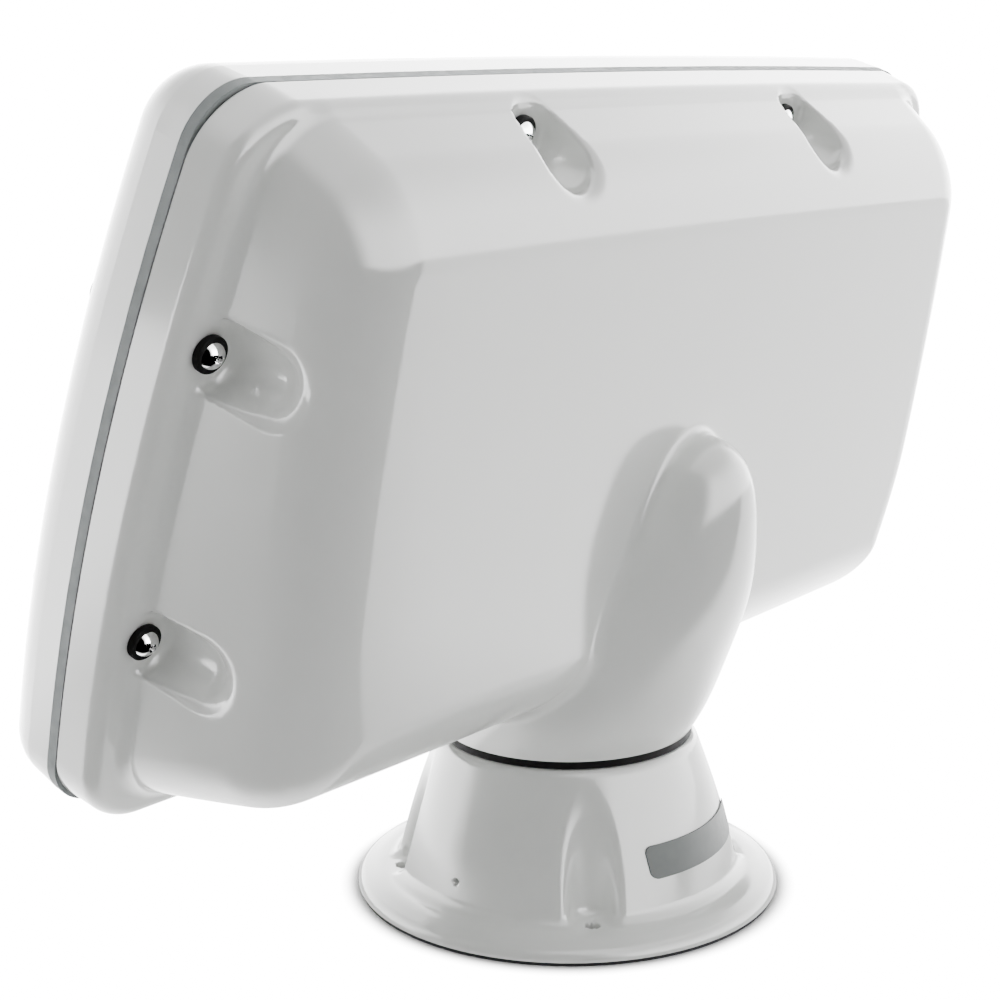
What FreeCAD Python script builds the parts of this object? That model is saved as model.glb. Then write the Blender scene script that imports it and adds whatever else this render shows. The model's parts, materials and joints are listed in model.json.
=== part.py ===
import FreeCAD, Part
import Sketcher
import math
import os
import re

# Swivel-mounted marine instrument pod: a two-piece white case on a moulded neck that turns on a
# round pedestal base.
# +Z is up, the origin is on the swivel axis at the underside of the base gasket, the closed front
# face of the case looks towards -Y and the case is as wide as X.
# The case has a frame of its own: "across" is X, "up" runs up the tilted face, "back" is the
# normal of the parting plane, towards the rear. Case pieces are drawn with the parting plane as
# their XY plane and their +Z pointing forward, then placed by case_placement().

document = FreeCAD.newDocument("SwivelPod")
Vector = FreeCAD.Vector
Z_DIRECTION = Vector(0, 0, 1)

SIZES = {
    # pedestal base
    "base_radius": 88.9,
    "base_gasket_thickness": 1.5,
    "base_gasket_bore_radius": 55.0,
    "base_gasket_setback": 0.4,
    "rim_height": 5.0,
    "flange_shoulder_radius": 79.0,
    "flange_height": 8.5,
    "rim_rounding": 2.9,
    "shoulder_rounding": 5.0,
    "cone_foot_radius": 72.4,
    "cone_knee_radius": 64.6,
    "cone_knee_height": 38.0,
    "cone_top_radius": 53.8,
    "cone_top_rounding": 3.5,
    "cone_foot_rounding": 4.0,
    "deck_top": 67.0,
    "deck_thickness": 7.0,
    "deck_blind_wall": 1.5,
    "base_cavity_foot_radius": 54.0,
    "base_cavity_top_radius": 46.0,
    "bolt_circle_radius": 70.0,
    "bolt_hole_radius": 2.75,
    "scallop_top_radius": 11.0,
    "scallop_draft": 1.5,
    "weep_hole_radius": 1.2,
    "weep_hole_height": 19.2,
    "weep_hole_angle": -3.3,
    # badge on the cone
    "badge_centre_angle": 95.5,
    "badge_sweep": 60.5,
    "badge_bottom": 23.4,
    "badge_height": 13.0,
    "badge_thickness": 0.4,
    "badge_glue_gap": 0.02,
    "badge_corner_radius": 3.0,
    # swivel
    "ring_outer_radius": 52.4,
    "ring_inner_radius": 38.0,
    "ring_thickness": 3.0,
    "spindle_radius": 17.0,
    "spindle_bore_radius": 13.0,
    "spindle_flange_radius": 34.0,
    "spindle_flange_thickness": 6.0,
    "spindle_top": 104.0,
    "spindle_chamfer": 1.0,
    "spindle_screw_circle": 27.0,
    "spindle_screw_head_radius": 4.6,
    "spindle_screw_head_height": 3.2,
    "spindle_screw_length": 11.0,
    "spindle_clearance": 0.2,
    "swivel_running_clearance": 0.05,
    "press_clearance": 0.05,
    "neck_floor_thickness": 8.0,
    "neck_extra_wall": 0.6,
    "neck_least_bore": 12.0,
    "neck_hole_clearance": 0.6,
    "plate_pilot_depth": 6.5,
    "neck_plate_radius": 37.5,
    "neck_plate_thickness": 3.0,
    "plate_screw_circle": 33.2,
    "plate_screw_head_radius": 3.6,
    "plate_screw_head_height": 2.6,
    "plate_screw_radius": 2.0,
    "plate_screw_length": 9.0,
    "plate_screw_clearance": 0.2,
    "stop_pin_radius": 3.0,
    "stop_pin_reach": 2.5,
    "stop_circle": 26.0,
    "stop_slot_clearance": 0.2,
    "swivel_half_range": 90.0,
    "friction_washer_thickness": 2.0,
    "disc_spring_height": 3.0,
    "disc_spring_thickness": 1.4,
    "disc_spring_setback": 1.0,
    "thrust_washer_thickness": 2.0,
    "washer_outer_radius": 28.0,
    "nut_height": 10.0,
    "nut_across_flats": 46.0,
    "nut_chamfer_inset": 0.5,
    "nut_chamfer_width": 4.6,
    "nut_chamfer_drop": 3.0,
    "bush_wall": 2.5,
    "bush_length": 10.0,
    "bush_lip_height": 2.5,
    "bush_lip_setback": 0.8,
    # case: overall outline at the parting plane
    "case_tilt": 20.4,
    "case_origin_back": -15.3,
    "case_origin_up": 209.1,
    "case_half_width": 233.2,
    "case_half_height": 136.6,
    "case_corner_radius": 24.0,
    "side_crown_radius": 800.0,
    "top_crown_radius": 12000.0,
    "case_wall": 3.5,
    # front half
    "gasket_thickness": 4.2,
    "gasket_setback": 0.1,
    "gasket_width": 6.5,
    "front_depth": 29.8,
    "front_draft": 2.8,
    "front_rounding": 19.5,
    "front_cavity_taper": 11.2,
    "front_floor_inset": 7.8,
    # rear half: lip round the screws, then the hump
    "shadow_gap": 0.8,
    "shadow_gap_width": 2.0,
    "lip_depth": 18.0,
    "lip_inset": 1.2,
    "lip_rounding": 4.0,
    "hump_overlap": 2.0,
    "hump_half_width": 218.2,
    "hump_top": 132.4,
    "hump_bottom": 126.5,
    "hump_corner_radius": 25.0,
    "hump_crown_radius": 946.0,
    "hump_depth": 78.4,
    "hump_depth_slope": -0.00285,
    "hump_rounding": 26.0,
    "hump_side_slope": 0.18,
    "hump_top_slope": 0.26,
    "hump_bottom_slope": 0.75,
    # case screws and their pockets
    "side_screw_across": 216.0,
    "side_screw_up": 53.4,
    "end_screw_across": 88.1,
    "end_screw_up": 122.0,
    "boss_radius": 7.0,
    "boss_overlap": 0.5,
    "screw_shank_radius": 2.5,
    "screw_hole_radius": 2.75,
    "screw_head_radius": 4.75,
    "screw_head_height": 3.2,
    "screw_length": 32.0,
    "screw_washer_radius": 6.5,
    "screw_washer_thickness": 3.0,
    "screw_washer_rounding": 0.7,
    "screw_washer_clearance": 0.1,
    "screw_socket_radius": 1.75,
    "screw_socket_depth": 1.8,
    "screw_centre_pin_radius": 0.55,
    "screw_centre_pin_setback": 0.2,
    "insert_radius": 3.5,
    "insert_length": 9.0,
    "insert_setback": 0.5,
    "insert_bore_spare": 6.0,
    "pocket_radius": 13.0,
    "pocket_end_depth": 41.0,
}

sheet = document.addObject("Spreadsheet::Sheet", "Sizes")
for row, (alias, number) in enumerate(SIZES.items(), start=1):
    sheet.set(f"A{row}", alias.replace("_", " "))
    sheet.set(f"B{row}", str(number))
    sheet.setAlias(f"B{row}", alias)
document.recompute()


def size(alias):
    """A driving dimension, read from the sheet."""
    return float(sheet.get(alias))


def bound(text):
    """An expression in sheet names, with each name pointing at the sheet."""
    return re.sub(r"[a-z][a-z_]{3,}", lambda name: "Sizes." + name.group(0), text)


def number(text):
    """The present value of such an expression."""
    return float(sheet.evalExpression(bound(text)))


# Four features evenly round an axis stand at 45 degrees to X and Y: each of their coordinates is
# the circle's radius times this.
DIAGONAL = "0.70710678"

# ---------------------------------------------------------------- sketches and bodies

def new_body(label):
    body = document.addObject("PartDesign::Body", label)
    body.Label = label
    return body


def new_sketch(body, name, role="XY_Plane", height=None):
    """An empty sketch on one of the body's own planes, lifted by an expression if given."""
    plane = next(item for item in body.Origin.OriginFeatures if item.Role == role)
    sketch = body.newObject("Sketcher::SketchObject", f"{body.Name}_{name}")
    sketch.AttachmentSupport = [(plane, "")]
    sketch.MapMode = "FlatFace"
    if height is not None:
        sketch.AttachmentOffset = FreeCAD.Placement(Vector(0, 0, number(height)), FreeCAD.Rotation())
        sketch.setExpression("AttachmentOffset.Base.z", bound(height))
    return sketch


def hold_point(sketch, geometry, position, across, up):
    """Hold one point of a sketch at driven distances from the sketch's origin."""
    for kind, text, axis in (("DistanceX", across, -2), ("DistanceY", up, -1)):
        amount = number(text)
        if abs(amount) < 1e-9:
            sketch.addConstraint(Sketcher.Constraint("PointOnObject", geometry, position, axis))
        elif amount > 0:
            index = sketch.addConstraint(
                Sketcher.Constraint(kind, -1, 1, geometry, position, amount))
            sketch.setExpression(f"Constraints[{index}]", bound(text))
        else:
            index = sketch.addConstraint(
                Sketcher.Constraint(kind, geometry, position, -1, 1, -amount))
            sketch.setExpression(f"Constraints[{index}]", bound(f"-({text})"))


def draw_polygon(sketch, corners):
    """A closed outline with straight sides and driven corners, given as expressions."""
    points = [Vector(number(across), number(up), 0) for across, up in corners]
    for start, end in zip(points, points[1:] + points[:1]):
        sketch.addGeometry(Part.LineSegment(start, end), False)
    for side in range(len(corners)):
        following = (side + 1) % len(corners)
        sketch.addConstraint(Sketcher.Constraint("Coincident", side, 2, following, 1))
    for side, (across, up) in enumerate(corners):
        hold_point(sketch, side, 1, across, up)


def draw_circle(sketch, across, up, radius):
    circle = Part.Circle(Vector(number(across), number(up), 0), Z_DIRECTION, number(radius))
    index = sketch.addGeometry(circle, False)
    held = sketch.addConstraint(Sketcher.Constraint("Radius", index, number(radius)))
    sketch.setExpression(f"Constraints[{held}]", bound(radius))
    hold_point(sketch, index, 3, across, up)


def revolve(body, name, corners, cut=False):
    """Turn a driven profile (radius, height) about the body's Z axis."""
    sketch = new_sketch(body, name, role="XZ_Plane")
    draw_polygon(sketch, corners)
    kind = "PartDesign::Groove" if cut else "PartDesign::Revolution"
    feature = body.newObject(kind, f"{body.Name}_{name}_turn")
    feature.Profile = sketch
    feature.ReferenceAxis = (sketch, ["V_Axis"])
    feature.Angle = 360
    document.recompute()
    return feature


def pad(body, sketch, length, taper=None, reverse=False):
    feature = body.newObject("PartDesign::Pad", f"{sketch.Name}_pad")
    feature.Profile = sketch
    feature.Length = number(length)
    feature.setExpression("Length", bound(length))
    feature.Reversed = reverse
    if taper is not None:
        feature.TaperAngle = number(taper)
        feature.setExpression("TaperAngle", bound(taper))
    document.recompute()
    return feature


def pocket(body, sketch, length, taper=None, reverse=False):
    """Cut a sketch away and make sure that it did cut."""
    before = body.Shape.Volume
    feature = body.newObject("PartDesign::Pocket", f"{sketch.Name}_pocket")
    feature.Profile = sketch
    feature.Length = number(length)
    feature.setExpression("Length", bound(length))
    feature.Reversed = reverse
    if taper is not None:
        feature.TaperAngle = number(taper)
        feature.setExpression("TaperAngle", bound(taper))
    document.recompute()
    if body.Shape.Volume > before - 1.0:
        raise RuntimeError(f"{feature.Name} cuts nothing")
    return feature


def repeat_round(body, feature, count, first_sketch):
    """Repeat a feature evenly about the body's Z axis."""
    pattern = body.newObject("PartDesign::PolarPattern", f"{feature.Name}_pattern")
    pattern.Originals = [feature]
    pattern.Axis = (first_sketch, ["N_Axis"])
    pattern.Angle = 360
    pattern.Occurrences = count
    body.Tip = pattern
    document.recompute()
    return pattern


def fillet(body, base, edges, radius):
    feature = body.newObject("PartDesign::Fillet", f"{body.Name}_fillet_{len(body.Group)}")
    feature.Base = (base, edges)
    feature.Radius = number(radius)
    feature.setExpression("Radius", bound(radius))
    document.recompute()
    return feature


def edges_where(shape, test):
    """The names of the edges whose bounding box passes a test."""
    return [f"Edge{i}" for i, edge in enumerate(shape.Edges, start=1) if test(edge.BoundBox)]


def round_edge_at(body, radius, height, rounding):
    """Round the full circular edge of this radius at this height."""
    shape = body.Shape
    found = edges_where(shape, lambda box: abs(box.ZMin - number(height)) < 0.01
                        and abs(box.ZMax - number(height)) < 0.01
                        and abs(box.XMax - number(radius)) < 0.05)
    fillet(body, body.Tip, found, rounding)


# ---------------------------------------------------------------- the case's outline

def crowned_arcs(half_width, top, bottom, corner, side_crown, end_crown):
    """Eight tangent arcs round a rectangle with bowed sides, anticlockwise from the right side.

    Each corner arc touches the side arc and the end arc from within, so its centre is at
    (crown - corner) from both of their centres. Returned as (centre, radius, start, end)."""
    def corner_centre(end):
        side_centre = half_width - side_crown
        end_centre = end - end_crown
        reach_side, reach_end = side_crown - corner, end_crown - corner
        gap = math.hypot(side_centre, end_centre)
        along = (reach_side ** 2 - reach_end ** 2 + gap ** 2) / (2 * gap)
        off = math.sqrt(reach_side ** 2 - along ** 2)
        unit = (-side_centre / gap, end_centre / gap)
        return (side_centre + along * unit[0] - off * unit[1],
                along * unit[1] + off * unit[0])

    upper = corner_centre(top)
    lower = corner_centre(bottom)
    side = Vector(half_width - side_crown, 0, 0)
    top_centre = Vector(0, top - end_crown, 0)
    bottom_centre = Vector(0, end_crown - bottom, 0)
    corners = [Vector(upper[0], upper[1], 0), Vector(-upper[0], upper[1], 0),
               Vector(-lower[0], -lower[1], 0), Vector(lower[0], -lower[1], 0)]

    def heading(start, end):
        return math.atan2(end.y - start.y, end.x - start.x)

    right_up, right_down = heading(side, corners[0]), heading(side, corners[3])
    top_right, top_left = heading(top_centre, corners[0]), heading(top_centre, corners[1])
    left_up, left_down = math.pi - right_up, math.pi - right_down
    low_left, low_right = heading(bottom_centre, corners[2]), heading(bottom_centre, corners[3])
    return [
        (side, side_crown, right_down, right_up),
        (corners[0], corner, right_up, top_right),
        (top_centre, end_crown, top_right, top_left),
        (corners[1], corner, top_left, left_up),
        (-side, side_crown, left_up, left_down),
        (corners[2], corner, left_down, low_left + 2 * math.pi),
        (bottom_centre, end_crown, low_left, low_right),
        (corners[3], corner, low_right, right_down),
    ]


def arc_curves(arcs):
    return [Part.ArcOfCircle(Part.Circle(centre, Z_DIRECTION, radius), start, end)
            for centre, radius, start, end in arcs]


def draw_case_outline(sketch, inset):
    """The case's outline, drawn in by an expression, as a fully driven sketch."""
    half_width = f"case_half_width - ({inset})"
    half_height = f"case_half_height - ({inset})"
    corner = f"case_corner_radius - ({inset})"
    side_crown, end_crown = "side_crown_radius", "top_crown_radius"
    arcs = crowned_arcs(number(half_width), number(half_height), number(half_height),
                        number(corner), number(side_crown), number(end_crown))
    sketch.addGeometry(arc_curves(arcs), False)
    for arc in range(8):
        sketch.addConstraint(Sketcher.Constraint("Tangent", arc, 2, (arc + 1) % 8, 1))
    radii = [side_crown, corner, end_crown, corner] * 2
    for arc, radius in enumerate(radii):
        held = sketch.addConstraint(Sketcher.Constraint("Radius", arc, number(radius)))
        sketch.setExpression(f"Constraints[{held}]", bound(radius))
    hold_point(sketch, 0, 3, f"{half_width} - {side_crown}", "0")
    hold_point(sketch, 2, 3, "0", f"{half_height} - {end_crown}")
    hold_point(sketch, 4, 3, f"{side_crown} - ({half_width})", "0")
    hold_point(sketch, 6, 3, "0", f"{end_crown} - ({half_height})")


def outline_wire(half_width, top, bottom, corner, side_crown, height):
    arcs = crowned_arcs(half_width, top, bottom, corner, side_crown, size("top_crown_radius"))
    wire = Part.Wire([curve.toShape() for curve in arc_curves(arcs)])
    wire.translate(Vector(0, 0, height))
    return wire


def case_placement():
    """From the case's own frame to the object's."""
    turn = FreeCAD.Rotation(Vector(1, 0, 0), 90 - size("case_tilt"))
    return FreeCAD.Placement(
        Vector(0, size("case_origin_back"), size("case_origin_up")), turn)


def screw_places():
    """Where the case screws stand, as (across, up): two on each side, two at each end."""
    side, end = size("side_screw_across"), size("end_screw_across")
    side_up, end_up = size("side_screw_up"), size("end_screw_up")
    places = [(x, y) for x in (side, -side) for y in (side_up, -side_up)]
    return places + [(x, y) for x in (end, -end) for y in (end_up, -end_up)]


SCREW_PLACES = [(f"{a}{across}", f"{b}{up}")
                for across, up in (("side_screw_across", "side_screw_up"),
                                   ("end_screw_across", "end_screw_up"))
                for a in ("", "-") for b in ("", "-")]


def feature_from(label, shape, placement=None):
    feature = document.addObject("Part::Feature", label)
    feature.Label = label
    feature.Shape = shape
    if placement is not None:
        feature.Placement = placement
    return feature


# ---------------------------------------------------------------- pedestal base

def build_base_housing():
    body = new_body("base_housing")
    foot = "base_gasket_thickness"
    revolve(body, "profile", [
        ("base_cavity_foot_radius", foot),
        ("base_radius", foot),
        ("base_radius", "rim_height"),
        ("flange_shoulder_radius", "flange_height"),
        ("cone_foot_radius", "flange_height"),
        ("cone_knee_radius", "cone_knee_height"),
        ("cone_top_radius", "deck_top"),
        ("spindle_radius + spindle_clearance", "deck_top"),
        ("spindle_radius + spindle_clearance", "deck_top - deck_thickness"),
        ("base_cavity_top_radius", "deck_top - deck_thickness"),
    ])
    round_edge_at(body, "cone_top_radius", "deck_top", "cone_top_rounding")
    round_edge_at(body, "cone_foot_radius", "flange_height", "cone_foot_rounding")
    round_edge_at(body, "base_radius", "rim_height", "rim_rounding")
    round_edge_at(body, "flange_shoulder_radius", "flange_height", "shoulder_rounding")

    diagonal = f"bolt_circle_radius * {DIAGONAL}"
    scallop = new_sketch(body, "scallop", height="deck_top")
    draw_circle(scallop, diagonal, diagonal, "scallop_top_radius")
    cut = pocket(body, scallop, "deck_top - flange_height", taper="-scallop_draft")
    repeat_round(body, cut, 4, scallop)

    hole = new_sketch(body, "bolt_hole", height="flange_height")
    draw_circle(hole, diagonal, diagonal, "bolt_hole_radius")
    cut = pocket(body, hole, "flange_height")
    repeat_round(body, cut, 4, hole)

    spindle_hole = new_sketch(body, "spindle_screw_hole", height="deck_top - deck_thickness")
    diagonal = f"spindle_screw_circle * {DIAGONAL}"
    draw_circle(spindle_hole, diagonal, diagonal, "screw_shank_radius + press_clearance")
    cut = pocket(body, spindle_hole, "deck_thickness - deck_blind_wall", reverse=True)
    repeat_round(body, cut, 4, spindle_hole)

    pin_hole = new_sketch(body, "pin_hole", height="deck_top")
    draw_circle(pin_hole, "0", "-stop_circle", "stop_pin_radius + press_clearance")
    pocket(body, pin_hole, "deck_thickness")

    weep = body.newObject("PartDesign::SubtractiveCylinder", "base_housing_weep_hole")
    weep.setExpression("Radius", bound("weep_hole_radius"))
    weep.Height = size("cone_foot_radius")
    heading = FreeCAD.Rotation(Z_DIRECTION, size("weep_hole_angle"))
    lying = FreeCAD.Rotation(Vector(0, 1, 0), 90)
    start = heading.multVec(Vector(size("base_cavity_top_radius"), 0, 0))
    weep.Placement = FreeCAD.Placement(
        Vector(start.x, start.y, size("weep_hole_height")), heading.multiply(lying))
    document.recompute()


def build_base_gasket():
    body = new_body("base_gasket")
    ring = new_sketch(body, "ring")
    draw_circle(ring, "0", "0", "base_radius - base_gasket_setback")
    draw_circle(ring, "0", "0", "base_gasket_bore_radius")
    pad(body, ring, "base_gasket_thickness")
    hole = new_sketch(body, "hole", height="base_gasket_thickness")
    diagonal = f"bolt_circle_radius * {DIAGONAL}"
    draw_circle(hole, diagonal, diagonal, "bolt_hole_radius")
    cut = pocket(body, hole, "base_gasket_thickness")
    repeat_round(body, cut, 4, hole)


def build_base_badge():
    """A thin plate wrapped on the cone: a cone skin cut to a round-cornered stretch."""
    foot_radius, top_radius = size("cone_foot_radius"), size("cone_knee_radius")
    foot, top = size("flange_height"), size("cone_knee_height")
    thickness = size("badge_thickness")
    rise = top - foot
    skin = Part.makeCone(foot_radius + thickness, top_radius + thickness, rise)
    gap = size("badge_glue_gap")
    skin = skin.cut(Part.makeCone(foot_radius + gap, top_radius + gap, rise))
    skin.translate(Vector(0, 0, foot))
    middle_height = size("badge_bottom") + size("badge_height") / 2
    radius_there = foot_radius + (top_radius - foot_radius) * (middle_height - foot) / rise
    half_length = radius_there * math.radians(size("badge_sweep") / 2)
    half_chord = radius_there * math.sin(half_length / radius_there)
    corner = size("badge_corner_radius")
    reach = foot_radius + 2 * thickness
    block = Part.makeBox(2 * half_chord, reach, size("badge_height"),
                         Vector(-half_chord, 0, size("badge_bottom")))
    uprights = [edge for edge in block.Edges
                if edge.BoundBox.YLength > foot_radius and edge.BoundBox.ZLength < 0.01]
    block = block.makeFillet(corner, uprights)
    badge = skin.common(block)
    badge.rotate(Vector(0, 0, 0), Z_DIRECTION, size("badge_centre_angle") - 90)
    feature_from("base_badge", badge)


# ---------------------------------------------------------------- swivel

RING_TOP = "deck_top + ring_thickness"
PLATE_BOTTOM = f"{RING_TOP} + neck_floor_thickness"
PLATE_TOP = f"{PLATE_BOTTOM} + neck_plate_thickness"
FRICTION_TOP = f"{PLATE_TOP} + friction_washer_thickness"
SPRING_TOP = f"{FRICTION_TOP} + disc_spring_height"
THRUST_TOP = f"{SPRING_TOP} + thrust_washer_thickness"
WASHER_BORE = "spindle_radius + spindle_clearance"


def flat_ring(label, inner, outer, bottom, top):
    body = new_body(label)
    revolve(body, "section", [(inner, bottom), (outer, bottom), (outer, top), (inner, top)])
    return body


def build_swivel_stack():
    flat_ring("swivel_seal_ring", "ring_inner_radius", "ring_outer_radius", "deck_top", RING_TOP)
    flat_ring("friction_washer", WASHER_BORE, "washer_outer_radius", PLATE_TOP, FRICTION_TOP)
    flat_ring("thrust_washer", WASHER_BORE, "washer_outer_radius", SPRING_TOP, THRUST_TOP)
    spring = new_body("disc_spring")
    revolve(spring, "section", [
        (WASHER_BORE, f"{SPRING_TOP} - disc_spring_thickness"),
        ("washer_outer_radius - disc_spring_setback", FRICTION_TOP),
        ("washer_outer_radius - disc_spring_setback", f"{FRICTION_TOP} + disc_spring_thickness"),
        (WASHER_BORE, SPRING_TOP),
    ])


def build_spindle():
    body = new_body("swivel_spindle")
    flange_top = "deck_top - deck_thickness"
    flange_bottom = f"{flange_top} - spindle_flange_thickness"
    revolve(body, "profile", [
        ("spindle_bore_radius", flange_bottom),
        ("spindle_flange_radius", flange_bottom),
        ("spindle_flange_radius", flange_top),
        ("spindle_radius", flange_top),
        ("spindle_radius", "spindle_top - spindle_chamfer"),
        ("spindle_radius - spindle_chamfer", "spindle_top"),
        ("spindle_bore_radius", "spindle_top"),
    ])
    hole = new_sketch(body, "screw_hole", height=flange_top)
    diagonal = f"spindle_screw_circle * {DIAGONAL}"
    draw_circle(hole, diagonal, diagonal, "screw_hole_radius")
    cut = pocket(body, hole, "spindle_flange_thickness")
    repeat_round(body, cut, 4, hole)


def build_lock_nut():
    body = new_body("lock_nut")
    outline = new_sketch(body, "hexagon", height=THRUST_TOP)
    flats = "nut_across_flats"
    corner_radius = f"{flats} / (2 * cos(30 deg))"
    half_side = f"{corner_radius} / 2"
    draw_polygon(outline, [
        (f"{flats} / 2", half_side), ("0", corner_radius), (f"-{flats} / 2", half_side),
        (f"-{flats} / 2", f"-{half_side}"), ("0", f"-{corner_radius}"),
        (f"{flats} / 2", f"-{half_side}"),
    ])
    draw_circle(outline, "0", "0", "spindle_radius + press_clearance")
    pad(body, outline, "nut_height")
    top = f"{THRUST_TOP} + nut_height"
    revolve(body, "corner_chamfer", [
        (f"{flats} / 2 - nut_chamfer_inset", top), (f"{flats} / 2 + nut_chamfer_width", top),
        (f"{flats} / 2 + nut_chamfer_width", f"{top} - nut_chamfer_drop"),
    ], cut=True)


def build_cable_bush():
    body = new_body("cable_bush")
    bore = "spindle_bore_radius - bush_wall"
    sleeve = "spindle_bore_radius - press_clearance"
    lip = "spindle_radius - bush_lip_setback"
    bottom, lip_top = "spindle_top - bush_length", "spindle_top + bush_lip_height"
    revolve(body, "section", [
        (bore, bottom), (sleeve, bottom), (sleeve, "spindle_top"),
        (lip, "spindle_top"), (lip, lip_top), (bore, lip_top),
    ])


def build_stop_pin():
    body = new_body("stop_pin")
    outline = new_sketch(body, "circle", height="deck_top - deck_thickness")
    draw_circle(outline, "0", "-stop_circle", "stop_pin_radius")
    pad(body, outline, "deck_thickness + ring_thickness + neck_floor_thickness + stop_pin_reach")


def slot_solid(bottom, height):
    """The arc slot that the stop pin runs in, on the front half, open by the swivel's range."""
    middle, pin = size("stop_circle"), size("stop_pin_radius") + size("stop_slot_clearance")
    sweep = 2 * size("swivel_half_range")
    outer = Part.makeCylinder(middle + pin, height, Vector(0, 0, bottom), Z_DIRECTION, sweep)
    slot = outer.cut(Part.makeCylinder(middle - pin, height, Vector(0, 0, bottom)))
    slot.rotate(Vector(0, 0, 0), Z_DIRECTION, 180 + 90 - size("swivel_half_range"))
    for end in (-1, 1):
        heading = math.radians(-90 + end * size("swivel_half_range"))
        centre = Vector(middle * math.cos(heading), middle * math.sin(heading), bottom)
        slot = slot.fuse(Part.makeCylinder(pin, height, centre))
    return slot


def build_neck_plate():
    """Stainless plate screwed into the neck: it carries the turning fit and the stop slot."""
    bottom, thickness = number(PLATE_BOTTOM), size("neck_plate_thickness")
    plate = Part.makeCylinder(size("neck_plate_radius"), thickness, Vector(0, 0, bottom))
    bore = size("spindle_radius") + size("swivel_running_clearance")
    plate = plate.cut(Part.makeCylinder(bore, thickness, Vector(0, 0, bottom)))
    plate = plate.cut(slot_solid(bottom, thickness))
    hole_radius = size("plate_screw_radius") + size("plate_screw_clearance")
    for centre in round_places(size("plate_screw_circle")):
        hole = Part.makeCylinder(hole_radius, thickness, centre + Vector(0, 0, bottom))
        plate = plate.cut(hole)
    feature_from("neck_plate", plate)


def round_places(radius):
    """Four places at 45 degrees to the axes on a circle."""
    return [Vector(radius * math.cos(a), radius * math.sin(a), 0)
            for a in (math.radians(45 + 90 * quarter) for quarter in range(4))]


# A pan head's rounding and recess depth are shares of its height, the recess's arms are shares of
# its radius, and the screw's point is this long and this share of the shank across at its tip.
PAN_ROUNDING, RECESS_DEPTH = 0.55, 0.5
RECESS_WIDTH, RECESS_REACH = 0.24, 1.1
POINT_LENGTH, POINT_TIP = 1.0, 0.4


def pan_screw(head_radius, head_height, shank_radius, length):
    """A pan-head screw with a cross recess, head up, its head's underside at z = 0."""
    head = Part.makeCylinder(head_radius, head_height)
    rim = [edge for edge in head.Edges if edge.BoundBox.ZMin > head_height - 0.01]
    head = head.makeFillet(head_height * PAN_ROUNDING, rim)
    shank = Part.makeCylinder(shank_radius, length - POINT_LENGTH,
                              Vector(0, 0, POINT_LENGTH - length))
    point = Part.makeCone(shank_radius * POINT_TIP, shank_radius, POINT_LENGTH,
                          Vector(0, 0, -length))
    screw = head.fuse([shank, point])
    width, reach = head_radius * RECESS_WIDTH, head_radius * RECESS_REACH
    depth = head_height * RECESS_DEPTH
    for long_way, short_way in ((reach, width), (width, reach)):
        screw = screw.cut(Part.makeBox(long_way, short_way, depth, Vector(
            -long_way / 2, -short_way / 2, head_height - depth)))
    return screw.removeSplitter()


def placed_copies(shape, places):
    copies = []
    for place in places:
        copy = shape.copy()
        copy.translate(place)
        copies.append(copy)
    return Part.makeCompound(copies)


def build_swivel_screws():
    """The spindle is held up into the deck from below, the plate down into the neck's floor."""
    shank = size("screw_shank_radius")
    flange_bottom = number("deck_top - deck_thickness - spindle_flange_thickness")
    screw = pan_screw(size("spindle_screw_head_radius"), size("spindle_screw_head_height"),
                      shank, size("spindle_screw_length"))
    screw.rotate(Vector(0, 0, 0), Vector(1, 0, 0), 180)
    screw.translate(Vector(0, 0, flange_bottom))
    feature_from("spindle_screws", placed_copies(screw, round_places(size("spindle_screw_circle"))))
    screw = pan_screw(size("plate_screw_head_radius"), size("plate_screw_head_height"),
                      size("plate_screw_radius"), size("plate_screw_length"))
    screw.translate(Vector(0, 0, number(PLATE_TOP)))
    feature_from("neck_plate_screws",
                 placed_copies(screw, round_places(size("plate_screw_circle"))))


# ---------------------------------------------------------------- case: front half and seal

def build_front_shell():
    body = new_body("front_shell")
    outline = new_sketch(body, "outline", height="gasket_thickness")
    draw_case_outline(outline, "0")
    pad(body, outline, "front_depth", taper="-front_draft")
    front = number("gasket_thickness + front_depth")
    found = edges_where(body.Shape, lambda box: box.ZMin > front - 0.01)
    fillet(body, body.Tip, found, "front_rounding")

    cavity = new_sketch(body, "cavity", height="gasket_thickness")
    draw_case_outline(cavity, "case_wall")
    pocket(body, cavity, "front_depth - front_rounding", taper="-front_draft", reverse=True)
    floor = new_sketch(body, "cavity_floor", height="gasket_thickness")
    draw_case_outline(floor, "case_wall + front_floor_inset")
    pocket(body, floor, "front_depth - case_wall", taper="-front_cavity_taper", reverse=True)

    bosses = new_sketch(body, "bosses", height="0")
    for across, up in SCREW_PLACES:
        draw_circle(bosses, across, up, "boss_radius")
    pad(body, bosses, "gasket_thickness + front_depth - case_wall + boss_overlap")
    bores = new_sketch(body, "insert_bores", height="0")
    for across, up in SCREW_PLACES:
        draw_circle(bores, across, up, "insert_radius")
    pocket(body, bores, "screw_length - lip_depth - screw_washer_thickness + insert_bore_spare",
           reverse=True)
    body.Placement = case_placement()


def build_case_gasket():
    body = new_body("case_gasket")
    band = new_sketch(body, "band", height="0")
    draw_case_outline(band, "gasket_setback")
    pad(body, band, "gasket_thickness")
    opening = new_sketch(body, "opening", height="0")
    draw_case_outline(opening, "gasket_setback + gasket_width")
    pocket(body, opening, "gasket_thickness", reverse=True)
    body.Placement = case_placement()


# ---------------------------------------------------------------- case: rear half with its neck

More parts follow.
